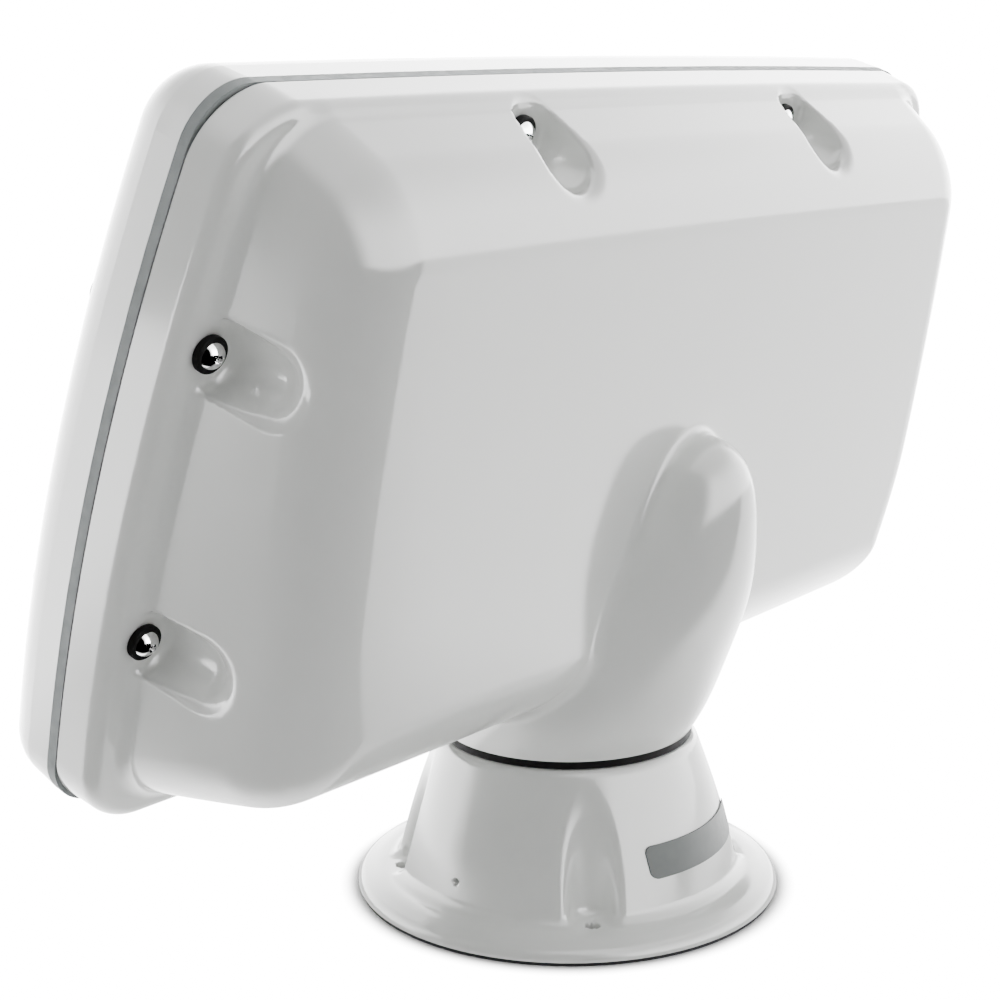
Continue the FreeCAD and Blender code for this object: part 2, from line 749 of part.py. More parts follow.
def hump_wire(side_inset, top_inset, bottom_inset, depth, corner):
    """One level of the hump. Levels tilt more the deeper they lie, because the hump is deeper
    at the bottom of the case than at the top."""
    wire = outline_wire(size("hump_half_width") - side_inset, size("hump_top") - top_inset,
                        size("hump_bottom") - bottom_inset, corner,
                        size("hump_crown_radius"), 0)
    from_lip = depth - size("lip_depth")
    tilt = FreeCAD.Matrix()
    tilt.A32 = -from_lip * size("hump_depth_slope")
    tilt.A34 = -depth
    return wire.transformGeometry(tilt)


# The roundings inside the hump are smaller than those outside by this share of the wall.
INNER_ROUNDING_LOSS = 0.5
ROUNDING_LEVELS = 4


def hump_solid(wall, start_depth):
    """The hump drawn in by a wall: drafted sides, then a rounding that ends flat at the back."""
    lip, rounding = size("lip_depth"), size("hump_rounding") - wall * INNER_ROUNDING_LOSS
    straight_end = size("hump_depth") - wall - rounding
    slopes = (size("hump_side_slope"), size("hump_top_slope"), size("hump_bottom_slope"))
    corner = size("hump_corner_radius") - wall * INNER_ROUNDING_LOSS
    levels = []
    for depth in (start_depth, (start_depth + straight_end) / 2, straight_end):
        levels.append([depth] + [wall + slope * max(depth - lip, 0) for slope in slopes])
    for level in range(1, ROUNDING_LEVELS + 1):
        angle = math.pi / 2 * level / ROUNDING_LEVELS
        depth = straight_end + rounding * math.sin(angle)
        inset = rounding * (1 - math.cos(angle))
        levels.append([depth] + [wall + slope * (straight_end - lip) + inset for slope in slopes])
    wires = [hump_wire(side, top, bottom, depth, corner) for depth, side, top, bottom in levels]
    return Part.makeLoft(wires, True, False)


# The neck's centre line leans back as it rises: (height, centre's distance back, radius).
NECK_STATIONS = [
    (70.0, 0.0, 52.4), (78.0, 5.2, 52.3), (88.0, 11.2, 51.6), (100.0, 17.9, 50.2),
    (112.0, 24.7, 48.4), (125.0, 32.5, 45.8), (150.0, 48.6, 36.0), (175.0, 59.0, 26.4),
    (190.0, 63.4, 17.6), (196.0, 64.6, 11.0), (199.3, 65.2, 4.6),
]


def neck_solid(wall, bottom, least_radius):
    """A round tube that leans back as it rises and narrows into the hump's back face."""
    wires = []
    for height, back, radius in NECK_STATIONS:
        if height >= bottom and radius - wall > least_radius:
            circle = Part.Circle(Vector(0, back, height), Z_DIRECTION, radius - wall)
            wires.append(Part.Wire(circle.toShape()))
    return Part.makeLoft(wires, True, False)


def lip_solid(wall, depth_from, depth_to):
    """The straight-sided tray behind the parting plane, drawn in by a wall."""
    slope = size("lip_inset") / size("lip_depth")
    wires = []
    for depth in (depth_from, depth_to):
        inset = wall + slope * depth
        wires.append(outline_wire(
            size("case_half_width") - inset, size("case_half_height") - inset,
            size("case_half_height") - inset, size("case_corner_radius") - inset,
            size("side_crown_radius"), -depth))
    return Part.makeLoft(wires, True, True)


def case_cylinder(radius, place, depth_from, depth_to):
    """A cylinder along the case's normal, between two depths behind the parting plane."""
    return Part.makeCylinder(radius, depth_to - depth_from,
                             Vector(place[0], place[1], -depth_to), Z_DIRECTION)


def pocket_solid(place, radius, depth_from):
    """The round-ended channel that gives a screwdriver a way to a case screw."""
    end_depth = size("pocket_end_depth")
    ball = Part.makeSphere(radius, Vector(place[0], place[1], -end_depth))
    return case_cylinder(radius, place, depth_from, end_depth).fuse(ball)


def build_rear_shell():
    wall, lip = size("case_wall"), size("lip_depth")
    to_object = case_placement().toMatrix()
    places = screw_places()

    tray = lip_solid(0, size("shadow_gap"), lip)
    back_edges = [edge for edge in tray.Edges if edge.BoundBox.ZMax < -lip + 0.01]
    tray = tray.makeFillet(size("lip_rounding"), back_edges)
    tongue = lip_solid(size("shadow_gap_width"), 0, lip / 2)
    overlap = size("hump_overlap")
    outside = tray.fuse([tongue, hump_solid(0, lip - overlap)])
    for place in places:
        outside = outside.cut(pocket_solid(place, size("pocket_radius"), lip))

    cavity = lip_solid(wall, 0, lip - wall).fuse(hump_solid(wall, lip - wall - overlap))
    for place in places:
        keep = pocket_solid(place, size("pocket_radius") + wall, lip - wall)
        cavity = cavity.cut(keep)

    outside = outside.transformGeometry(to_object)
    cavity = cavity.transformGeometry(to_object)
    floor_top = number(PLATE_BOTTOM)
    floor_bottom = number(RING_TOP)
    shell = outside.fuse(neck_solid(0, floor_bottom, 0))
    neck_inside = neck_solid(wall + size("neck_extra_wall"), floor_top, size("neck_least_bore"))
    shell = shell.cut(cavity.fuse(neck_inside))

    for place in places:
        boss = case_cylinder(size("boss_radius"), place, 0, lip - wall + size("boss_overlap"))
        bore = case_cylinder(size("screw_hole_radius"), place, 0, lip + size("boss_overlap"))
        shell = shell.fuse(boss.transformGeometry(to_object))
        shell = shell.cut(bore.transformGeometry(to_object))

    through_radius = size("spindle_radius") + size("neck_hole_clearance")
    through = Part.makeCylinder(through_radius, size("neck_floor_thickness"),
                                Vector(0, 0, floor_bottom))
    shell = shell.cut(through)
    shell = shell.cut(slot_solid(floor_bottom, size("neck_floor_thickness")))
    pilot_radius = size("plate_screw_radius") + size("press_clearance")
    pilot_depth = size("plate_pilot_depth")
    for centre in round_places(size("plate_screw_circle")):
        bottom = centre + Vector(0, 0, floor_top - pilot_depth)
        shell = shell.cut(Part.makeCylinder(pilot_radius, pilot_depth, bottom))
    feature_from("rear_shell", shell)


# ---------------------------------------------------------------- case: fasteners

def button_screw():
    """Tamper-resistant button head: a domed head with a hexagon socket round a centre pin.
    The head's underside is at z = 0 and the shank points forward, up the case's +Z."""
    radius, height = size("screw_head_radius"), size("screw_head_height")
    dome = (radius ** 2 + height ** 2) / (2 * height)
    ball = Part.makeSphere(dome, Vector(0, 0, dome - height))
    head = Part.makeCylinder(radius, height, Vector(0, 0, -height)).common(ball)
    shank = Part.makeCylinder(size("screw_shank_radius"), size("screw_length"))
    socket_radius, socket_depth = size("screw_socket_radius"), size("screw_socket_depth")
    corners = [Vector(socket_radius * math.cos(math.radians(60 * i)),
                      socket_radius * math.sin(math.radians(60 * i)), -height) for i in range(7)]
    socket = Part.Face(Part.makePolygon(corners)).extrude(Vector(0, 0, socket_depth))
    pin = Part.makeCylinder(size("screw_centre_pin_radius"), socket_depth,
                            Vector(0, 0, size("screw_centre_pin_setback") - height))
    return head.cut(socket).fuse([pin, shank]).removeSplitter()


def build_case_fasteners():
    lip, washer = size("lip_depth"), size("screw_washer_thickness")
    places = [Vector(across, up, 0) for across, up in screw_places()]

    screw = button_screw()
    screw.translate(Vector(0, 0, -lip - washer))
    feature_from("case_screws", placed_copies(screw, places), case_placement())

    ring = Part.makeCylinder(size("screw_washer_radius"), washer)
    rims = [edge for edge in ring.Edges if edge.BoundBox.ZLength < 0.01]
    ring = ring.makeFillet(size("screw_washer_rounding"), rims)
    bore_radius = size("screw_shank_radius") + size("screw_washer_clearance")
    ring = ring.cut(Part.makeCylinder(bore_radius, washer))
    ring.translate(Vector(0, 0, -lip - washer))
    feature_from("case_screw_washers", placed_copies(ring, places), case_placement())

    insert = Part.makeCylinder(size("insert_radius"), size("insert_length"))
    bore_radius = size("screw_shank_radius") + size("press_clearance")
    insert = insert.cut(Part.makeCylinder(bore_radius, size("insert_length")))
    insert.translate(Vector(0, 0, size("insert_setback")))
    feature_from("threaded_inserts", placed_copies(insert, places), case_placement())


# ---------------------------------------------------------------- build, check and write

build_base_housing()
build_base_gasket()
build_base_badge()
build_swivel_stack()
build_spindle()
build_lock_nut()
build_cable_bush()
build_stop_pin()
build_neck_plate()
build_swivel_screws()
build_front_shell()
build_case_gasket()
build_rear_shell()
build_case_fasteners()
document.recompute()

failed = [item.Name for item in document.Objects
          if "Invalid" in item.State or "Error" in item.State]
if failed:
    raise RuntimeError(f"failed objects: {failed}")

os.makedirs("parts", exist_ok=True)
for item in document.Objects:
    is_body = item.TypeId == "PartDesign::Body"
    is_shape = item.TypeId == "Part::Feature"
    if not (is_body or is_shape):
        continue
    if item.Shape.isNull() or not item.Shape.isValid():
        raise RuntimeError(f"{item.Label} has no valid shape")
    item.Shape.exportStep(f"parts/{item.Label}.step")
    print(f"{item.Label}: {len(item.Shape.Solids)} solid(s), {item.Shape.Volume / 1000:.1f} cm3")
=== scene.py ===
"""Swivel instrument pod: the looks, round the fixed CAD frame. Metres, +Z up, front towards -Y."""
import json
import math

import bmesh
import bpy
import numpy as np
from mathutils import Matrix, Vector


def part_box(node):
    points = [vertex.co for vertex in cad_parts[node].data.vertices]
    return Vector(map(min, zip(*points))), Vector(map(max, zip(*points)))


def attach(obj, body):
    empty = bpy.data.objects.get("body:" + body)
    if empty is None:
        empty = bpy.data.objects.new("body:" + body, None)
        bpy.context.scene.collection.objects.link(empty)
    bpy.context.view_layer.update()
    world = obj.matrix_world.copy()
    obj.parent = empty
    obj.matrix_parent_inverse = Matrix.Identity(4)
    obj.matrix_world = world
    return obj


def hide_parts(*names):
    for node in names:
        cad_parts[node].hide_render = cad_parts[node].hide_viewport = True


MM = 0.001

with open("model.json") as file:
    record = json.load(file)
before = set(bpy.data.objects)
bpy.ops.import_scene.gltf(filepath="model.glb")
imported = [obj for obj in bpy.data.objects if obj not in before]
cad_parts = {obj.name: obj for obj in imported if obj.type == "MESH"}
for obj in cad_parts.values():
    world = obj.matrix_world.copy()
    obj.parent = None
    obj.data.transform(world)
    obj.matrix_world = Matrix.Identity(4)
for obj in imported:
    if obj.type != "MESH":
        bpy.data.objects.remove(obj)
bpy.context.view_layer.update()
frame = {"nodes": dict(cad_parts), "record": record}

# ------------------------------------------------------------------ driving sizes

# The case has its own frame: across (X), up (along the tilted face) and back (the parting plane's
# normal, towards the rear).
CASE_TILT = math.radians(20.4)
CASE_ORIGIN = np.array([0.0, -15.3, 209.1]) * MM
CASE_UP = np.array([0.0, math.sin(CASE_TILT), math.cos(CASE_TILT)])
CASE_BACK = np.array([0.0, math.cos(CASE_TILT), -math.sin(CASE_TILT)])

CASE_HALF_WIDTH = 233.2 * MM
CASE_HALF_HEIGHT = 136.6 * MM
CASE_CORNER = 24.0 * MM
SIDE_CROWN = 800.0 * MM
END_CROWN = 12000.0 * MM
CASE_WALL = 3.5 * MM

# Grid steps of the skins, the share of faces kept from them and the room left round their boxes.
SKIN_STEP = 1.5 * MM
INSIDE_STEP = 5.0 * MM
BASE_STEP = 1.3 * MM
SKIN_SHARE = 0.6
CASE_MARGIN = 5.0 * MM
BASE_MARGIN = 3.0 * MM
# Tolerances in metres: merging at a cut, and how close to a cut plane counts as on it.
CUT_MERGE = 1e-7
ON_PLANE = 1e-5
# The least squared slope that settling divides by, and how far towards the face's centre a corner's
# normal is taken, as a share.
LEAST_SLOPE = 0.05
CORNER_INSET = 0.05

SHADOW_GAP = 0.8 * MM
TONGUE_DEPTH = 3.2 * MM
TONGUE_HEIGHT = 1.6 * MM
TONGUE_POINTS = 720
LIP_DEPTH = 18.0 * MM
LIP_INSET = 1.2 * MM
LIP_ROUNDING = 5.0 * MM

HUMP_HALF_WIDTH = 218.2 * MM
HUMP_TOP = 132.4 * MM
HUMP_BOTTOM = 126.5 * MM
HUMP_CORNER = 24.7 * MM
HUMP_CROWN = 946.0 * MM
HUMP_DEPTH = 78.9 * MM
HUMP_DEPTH_SLOPE = -2.85
HUMP_ROUNDING = 21.8 * MM
HUMP_LOW_ROUNDING = 35.3 * MM
HUMP_SIDE_SLOPE = 0.197
HUMP_TOP_SLOPE = 0.247
HUMP_BOTTOM_SLOPE = 0.592
# The rounding grows to the low one over this stretch below the middle: (start, length).
LOW_STRETCH = (20 * MM, 80 * MM)
FOOT_FILLET = 4.0 * MM

SCREW_PLACES = [(across * 216.0 * MM, up * 53.4 * MM) for across in (1, -1) for up in (1, -1)]
SCREW_PLACES += [(across * 88.1 * MM, up * 122.0 * MM) for across in (1, -1) for up in (1, -1)]
POCKET_RADIUS = 13.0 * MM
POCKET_END = 41.0 * MM
POCKET_EDGE = 1.2 * MM
POCKET_FADE = 5.0 * MM

NECK_BOTTOM = 70.0 * MM
NECK_FLOOR_TOP = 78.0 * MM
SPINDLE_HOLE = 17.6 * MM
NECK_BLEND = 5.0 * MM
NECK_TIP_SIZE = 4.0 * MM
HOLE_OVERLAP = 1.0 * MM
# (height, how far back the centre lies, radius)
NECK_STATIONS = np.array([
    (70.0, 0.0, 52.4), (78.0, 5.2, 52.3), (88.0, 11.2, 51.6), (100.0, 17.9, 50.2),
    (112.0, 24.7, 48.4), (125.0, 32.5, 45.8), (150.0, 48.6, 36.0), (175.0, 59.0, 26.4),
    (189.0, 63.2, 18.4), (199.0, 65.4, 0.0),
]) * MM

# The pedestal base: a flange, a cone in two slopes, and a scallop over each bolt hole.
BASE_BOTTOM = 1.5 * MM
BASE_RADIUS = 88.9 * MM
RIM_ROUNDING = 3.0 * MM
FLANGE_TOP = 8.5 * MM
SHOULDER_RADIUS = 79.0 * MM
SHOULDER_FALL = 0.3535
CONE_FOOT = (72.4 * MM, 8.5 * MM)
CONE_KNEE = (64.6 * MM, 38.0 * MM)
CONE_TOP = (53.8 * MM, 67.0 * MM)
CONE_TOP_ROUNDING = 3.5 * MM
CONE_FOOT_FILLET = 4.5 * MM
BOLT_CIRCLE = 70.0 * MM
BOLT_HOLE = 2.75 * MM
SCALLOP_FOOT = 9.5 * MM
SCALLOP_DRAFT = 0.026
SCALLOP_EDGE = 4.0 * MM
BOLT_EDGE = 0.4 * MM
WEEP_HOLE = 1.2 * MM
WEEP_EDGE = 0.3 * MM
WEEP_HEIGHT = 19.2 * MM
WEEP_START = 60.0 * MM
WEEP_ANGLE = math.radians(-3.3)
KNEE_SOFTENING = 1.5 * MM
SHOULDER_SOFTENING = 1.2 * MM
# (radius, height) up the inside of the base
BASE_INSIDE = [(54.0 * MM, 1.5 * MM), (46.0 * MM, 60.0 * MM)]
BASE_TURNS = 128

# Brightness: what the camera sees behind the object, what the room gives off, and what gloss
# mirrors of the floor, the room's walls and its ceiling.
BACKGROUND_GLOW = 18.0
ROOM_LIGHT = 0.28
MIRRORED_FLOOR = 9.0
MIRRORED_ROOM = 18.0
MIRRORED_CEILING = 7.0


def compass(degrees):
    """A level direction, counted from +X to +Y."""
    return (math.cos(math.radians(degrees)), math.sin(math.radians(degrees)), 0)


# Distances from the swivel axis: where the floor's own white starts, just beyond the base, and where
# it is full. The same for the glow that gloss mirrors of the floor, which is dimmed near the axis as
# a painted shadow of the object, with the share that is left near the axis.
FLOOR_FADE = (0.0885, 0.1)
FLOOR_SHADE = (0.09, 0.24, 0.3)
# Gloss mirrors two whites on the floor: (heading, where it starts to fall along that heading, where
# it has gone, brightness). The room is dark round one heading, and its ceiling is dimmer than its
# walls: (direction, where it starts to fall along that direction, where it has fallen).
FLOOR_WHITES = (
    (compass(46.5), 0.085, 0.17, MIRRORED_FLOOR),
    (compass(80), -0.35, -0.05, MIRRORED_ROOM),
)
ROOM_DARK = (compass(10), 0.36, 0.7)
CEILING = ((0, 0, 1), 0.3, 0.8)

PAPER = (0.86, 0.86, 0.86, 1)
PAPER_ROUGHNESS = 0.75
FLOOR_REACH = 4.0
WHITE = (1, 1, 1, 1)

# Softboxes: (name, azimuth from +X to +Y, height, distance, size, brightness), in metres. They are
# aimed at a point on the swivel axis and light the object without being mirrored in it.
SOFTBOXES = (
    ("left_fill", -35, 0.9, 1.6, (1.6, 1.3), 1.7),
    ("right_fill", 125, 0.3, 1.6, (1.6, 1.2), 2.4),
    ("overhead_fill", 20, 1.9, 0.4, (0.9, 0.9), 3.2),
)
SOFTBOX_AIM = Vector((0, 0, 0.2))

CAMERA_AZIMUTH = math.radians(128.53)
CAMERA_ELEVATION = math.radians(12.45)
CAMERA_ROLL = math.radians(-0.42)
CAMERA_DISTANCE = 783.85 * MM
CAMERA_TARGET = Vector((44.1 * MM, 0, 172.48 * MM))
CAMERA_LENS = 71.75
CAMERA_SENSOR = 36
CAMERA_NEAR = 0.01


# ------------------------------------------------------------------ solid fields
# Each field is negative inside its solid, zero on the surface and close to a distance near it.

def meet_round(a, b, radius):
    """Where both solids are, with the edge between them rounded."""
    corner = np.hypot(np.maximum(radius + a, 0), np.maximum(radius + b, 0))
    return np.minimum(-radius, np.maximum(a, b)) + corner


def join_round(a, b, radius):
    """Either solid, with a fillet between them."""
    return -meet_round(-a, -b, radius)


def cut_round(a, b, radius):
    """The first solid less the second, with the new edge rounded."""
    return meet_round(a, -b, radius)


def natural_spline(knots, values):
    """A smooth curve through a few stations, as a function that gives value and slope."""
    steps = np.diff(knots)
    count = len(knots)
    system = np.zeros((count, count))
    rates = np.zeros(count)
    system[0, 0] = system[-1, -1] = 1.0
    for i in range(1, count - 1):
        system[i, i - 1:i + 2] = steps[i - 1], 2 * (steps[i - 1] + steps[i]), steps[i]
        rates[i] = 6 * ((values[i + 1] - values[i]) / steps[i]
                        - (values[i] - values[i - 1]) / steps[i - 1])
    bends = np.linalg.solve(system, rates)

    def curve(at):
        held = np.clip(at, knots[0], knots[-1])
        i = np.clip(np.searchsorted(knots, held) - 1, 0, count - 2)
        left, right, step = held - knots[i], knots[i + 1] - held, steps[i]
        low = values[i] / step - bends[i] * step / 6
        high = values[i + 1] / step - bends[i + 1] * step / 6
        value = (bends[i] * right ** 3 + bends[i + 1] * left ** 3) / (6 * step)
        slope = (bends[i + 1] * left ** 2 - bends[i] * right ** 2) / (2 * step) + high - low
        return value + low * right + high * left + slope * (at - held), slope

    return curve


neck_centre = natural_spline(NECK_STATIONS[:, 0], NECK_STATIONS[:, 1])
neck_radius_squared = natural_spline(NECK_STATIONS[:, 0], NECK_STATIONS[:, 2] ** 2)


def to_case(points):
    """Object coordinates to (across, up, back)."""
    offset = points - CASE_ORIGIN
    return offset[..., 0], offset @ CASE_UP, offset @ CASE_BACK


def from_case(across, up, back):
    across, up, back = np.broadcast_arrays(across, up, back)
    return (CASE_ORIGIN + across[..., None] * np.array([1.0, 0, 0])
            + up[..., None] * CASE_UP + back[..., None] * CASE_BACK)


def crowned_outline(across, up, half_width, top, bottom, corner, side_crown):
    """Distance from a rectangle with bowed sides and rounded corners."""
    side = np.hypot(np.abs(across) + side_crown - half_width, up) - side_crown
    above = np.hypot(across, up + END_CROWN - top) - END_CROWN
    below = np.hypot(across, up - END_CROWN + bottom) - END_CROWN
    return meet_round(side, np.where(up > 0, above, below), corner)


def lip_field(across, up, back):
    """The rim behind the shadow gap, drawn in a little towards the rear."""
    inset = LIP_INSET * back / LIP_DEPTH
    outline = crowned_outline(across, up, CASE_HALF_WIDTH - inset, CASE_HALF_HEIGHT - inset,
                              CASE_HALF_HEIGHT - inset, CASE_CORNER, SIDE_CROWN)
    return meet_round(outline, back - LIP_DEPTH, LIP_ROUNDING)


def hump_field(across, up, back):
    """Deeper at the bottom than at the top; drafted walls rounded into a nearly flat back."""
    stretch = 1 + HUMP_DEPTH_SLOPE * up
    level = LIP_DEPTH + (back - LIP_DEPTH) / stretch
    rise = np.maximum(level - LIP_DEPTH, 0)
    top = HUMP_TOP - HUMP_TOP_SLOPE * rise
    bottom = HUMP_BOTTOM - HUMP_BOTTOM_SLOPE * rise
    outline = crowned_outline(across, up, HUMP_HALF_WIDTH - HUMP_SIDE_SLOPE * rise,
                              top, bottom, HUMP_CORNER, HUMP_CROWN)
    lowness = np.clip((-up - LOW_STRETCH[0]) / LOW_STRETCH[1], 0, 1)
    lowness = lowness * lowness * (3 - 2 * lowness)
    rounding = HUMP_ROUNDING + (HUMP_LOW_ROUNDING - HUMP_ROUNDING) * lowness
    return meet_round(outline, (level - HUMP_DEPTH) * stretch, rounding)


def pocket_field(across, up, back):
    """The round-ended channels behind the case screws."""
    nearest = None
    for place_across, place_up in SCREW_PLACES:
        beyond = np.maximum(back - POCKET_END, 0)
        radial = np.sqrt((across - place_across) ** 2 + (up - place_up) ** 2 + beyond ** 2)
        channel = radial - POCKET_RADIUS
        nearest = channel if nearest is None else np.minimum(nearest, channel)
    return nearest


def neck_field(points):
    """A round tube that leans back as it rises and closes to a rounded point."""
    centre, lean = neck_centre(points[..., 2])
    squared, taper = neck_radius_squared(points[..., 2])
    back = points[..., 1] - centre
    spare = points[..., 0] ** 2 + back ** 2 - squared
    steepness = 4 * (points[..., 0] ** 2 + back ** 2) + (2 * back * lean + taper) ** 2
    return spare / np.sqrt(np.maximum(steepness, NECK_TIP_SIZE ** 2))


def rear_outside(points):
    """The rear half's outside: lip and hump less the screw pockets, and the neck."""
    across, up, back = to_case(points)
    far = np.clip((back - LIP_DEPTH) / (POCKET_END + POCKET_RADIUS - LIP_DEPTH), 0, 1)
    hump = cut_round(hump_field(across, up, back), pocket_field(across, up, back),
                     POCKET_EDGE + POCKET_FADE * far ** 2)
    body = join_round(lip_field(across, up, back), hump, FOOT_FILLET)
    return join_round(body, neck_field(points), NECK_BLEND)


def rear_cavity(points):
    """The rear half's inside, down to the neck's floor and the spindle's hole in it."""
    inside = np.maximum(rear_outside(points) + CASE_WALL, NECK_FLOOR_TOP - points[..., 2])
    hole = np.hypot(points[..., 0], points[..., 1]) - SPINDLE_HOLE
    return np.minimum(inside, np.maximum(hole, points[..., 2] - NECK_FLOOR_TOP - HOLE_OVERLAP))


def soften_max(a, b, reach):
    """The larger of two nearly equal fields, with the change from one to the other softened."""
    near = np.maximum(reach - np.abs(a - b), 0) / reach
    return np.maximum(a, b) + near * near * reach / 4


def cone_wall(radial, height, low, high):
    """A cone through two (radius, height) points."""
    slope = (low[0] - high[0]) / (high[1] - low[1])
    return (radial - low[0] + slope * (height - low[1])) / math.hypot(1, slope)


def base_outside(points):
    """Flange and cone, with a scallop and a hole at each bolt and one weep hole."""
    x, y, height = points[..., 0], points[..., 1], points[..., 2]
    radial = np.hypot(x, y)
    cone = soften_max(cone_wall(radial, height, CONE_FOOT, CONE_KNEE),
                      cone_wall(radial, height, CONE_KNEE, CONE_TOP), KNEE_SOFTENING)
    cone = meet_round(cone, height - CONE_TOP[1], CONE_TOP_ROUNDING)
    diagonal = BOLT_CIRCLE * math.sqrt(0.5)
    to_bolt = np.hypot(np.abs(x) - diagonal, np.abs(y) - diagonal)
    scallop = to_bolt - SCALLOP_FOOT - SCALLOP_DRAFT * (height - FLANGE_TOP)
    cone = cut_round(cone, scallop, SCALLOP_EDGE)
    shoulder = height - FLANGE_TOP + SHOULDER_FALL * (radial - SHOULDER_RADIUS)
    flange = soften_max(height - FLANGE_TOP, shoulder / math.hypot(1, SHOULDER_FALL),
                        SHOULDER_SOFTENING)
    flange = meet_round(radial - BASE_RADIUS, flange, RIM_ROUNDING)
    body = join_round(flange, cone, CONE_FOOT_FILLET)
    body = cut_round(body, to_bolt - BOLT_HOLE, BOLT_EDGE)
    across = x * math.sin(WEEP_ANGLE) - y * math.cos(WEEP_ANGLE)
    along = x * math.cos(WEEP_ANGLE) + y * math.sin(WEEP_ANGLE)
    weep = np.maximum(np.hypot(across, height - WEEP_HEIGHT) - WEEP_HOLE, WEEP_START - along)
    return cut_round(body, weep, WEEP_EDGE)


# ------------------------------------------------------------------ meshing a field

def gradient(field, points, reach=0.02 * MM):
    slopes = []
    for axis in range(3):
        step = np.zeros(3)
        step[axis] = reach
        slopes.append((field(points + step) - field(points - step)) / (2 * reach))
    return np.stack(slopes, axis=-1)


def settle(field, points, rounds=4):
    """Move points along the field's gradient onto its surface."""
    for _ in range(rounds):
        slope = gradient(field, points)
        size = np.maximum((slope ** 2).sum(-1), LEAST_SLOPE)
        points = points - (field(points) / size)[:, None] * slope
    return points


def surface_net(field, low, high, step):
    """Points and quads of the field's zero surface, one point in each grid cell it crosses."""
    counts = [int(math.ceil((high[i] - low[i]) / step)) + 1 for i in range(3)]
    axes = [low[i] + step * np.arange(counts[i]) for i in range(3)]
    values = np.empty(counts, np.float32)
    for i, x in enumerate(axes[0]):
        grid = np.stack(np.meshgrid([x], axes[1], axes[2], indexing="ij"), axis=-1)
        values[i] = field(grid)[0]
    inside = values < 0

    cell_counts = [count - 1 for count in counts]
    total = np.zeros(cell_counts + [3], np.float32)
    crossings = np.zeros(cell_counts, np.int8)
    quads = []
    for axis in range(3):
        lower = [slice(None)] * 3
        upper = [slice(None)] * 3
        lower[axis], upper[axis] = slice(0, -1), slice(1, None)
        first, second = values[tuple(lower)], values[tuple(upper)]
        crossed = np.argwhere(inside[tuple(lower)] != inside[tuple(upper)])
        start = first[tuple(crossed.T)]
        end = second[tuple(crossed.T)]
        places = crossed.astype(np.float32)
        places[:, axis] += start / (start - end)
        rising = start < 0
        others = [other for other in range(3) if other != axis]
        keep = np.ones(len(crossed), bool)
        for other in others:
            keep &= (crossed[:, other] > 0) & (crossed[:, other] < counts[other] - 1)
        crossed, places, rising = crossed[keep], places[keep], rising[keep]
        cells = []
        for shift_a, shift_b in ((0, 0), (1, 0), (1, 1), (0, 1)):
            cell = crossed.copy()
            cell[:, others[0]] -= shift_a
            cell[:, others[1]] -= shift_b
            np.add.at(total, tuple(cell.T), places)
            np.add.at(crossings, tuple(cell.T), 1)
            cells.append(np.ravel_multi_index(tuple(cell.T), cell_counts))
        cells = np.stack(cells, axis=1)
        flip = rising if axis != 1 else ~rising
        cells[flip] = cells[flip][:, ::-1]
        quads.append(cells)
    quads = np.concatenate(quads)
    used, quads = np.unique(quads, return_inverse=True)
    quads = quads.reshape(-1, 4)
    places = total.reshape(-1, 3)[used] / crossings.reshape(-1)[used][:, None]
    points = np.array(low) + places.astype(np.float64) * step
    return settle(field, points), quads


def mesh_from(name, points, faces):
    mesh = bpy.data.meshes.new(name)
    mesh.from_pydata(points.tolist(), [], faces.tolist())
    mesh.update()
    return mesh


def new_object(name, mesh):
    piece = bpy.data.objects.new(name, mesh)
    bpy.context.scene.collection.objects.link(piece)
    return piece


def points_of(mesh):
    flat = np.empty(len(mesh.vertices) * 3)
    mesh.vertices.foreach_get("co", flat)
    return flat.reshape(-1, 3)


def apply_modifiers(piece):
    graph = bpy.context.evaluated_depsgraph_get()
    mesh = bpy.data.meshes.new_from_object(piece.evaluated_get(graph), depsgraph=graph)
    piece.modifiers.clear()
    old = piece.data
    piece.data = mesh
    bpy.data.meshes.remove(old)


def thin_out(piece, share):
    """Keep a share of the faces, most of them where the surface bends."""
    thinner = piece.modifiers.new("thinner", "DECIMATE")
    thinner.ratio = share
    apply_modifiers(piece)


def skin_mesh(name, field, low, high, step, share=1.0, outward=True):
    points, quads = surface_net(field, low, high, step)
    piece = new_object(name, mesh_from(name, points, quads))
    if share < 1:
        thin_out(piece, share)
        settled = settle(field, points_of(piece.data), rounds=2)
        piece.data.vertices.foreach_set("co", settled.ravel())
        piece.data.update()
    face = piece.data.polygons[0]
    slope = gradient(field, np.array([face.center[:]]))[0]
    if (np.dot(slope, face.normal[:]) > 0) != outward:
        piece.data.flip_normals()
    return piece


def cut_open(shape, point, normal):
    """Cut a mesh at a plane, drop what lies on the normal's side and give the open edges."""
    geometry = shape.verts[:] + shape.edges[:] + shape.faces[:]
    cut = bmesh.ops.bisect_plane(shape, geom=geometry, plane_co=point, plane_no=normal,
                                 dist=CUT_MERGE, clear_outer=True)
    return [item for item in cut["geom_cut"] if isinstance(item, bmesh.types.BMEdge)]


def close_flat(shape, rim, normal):
    bmesh.ops.triangle_fill(shape, edges=rim, use_beauty=True, use_dissolve=False, normal=normal)


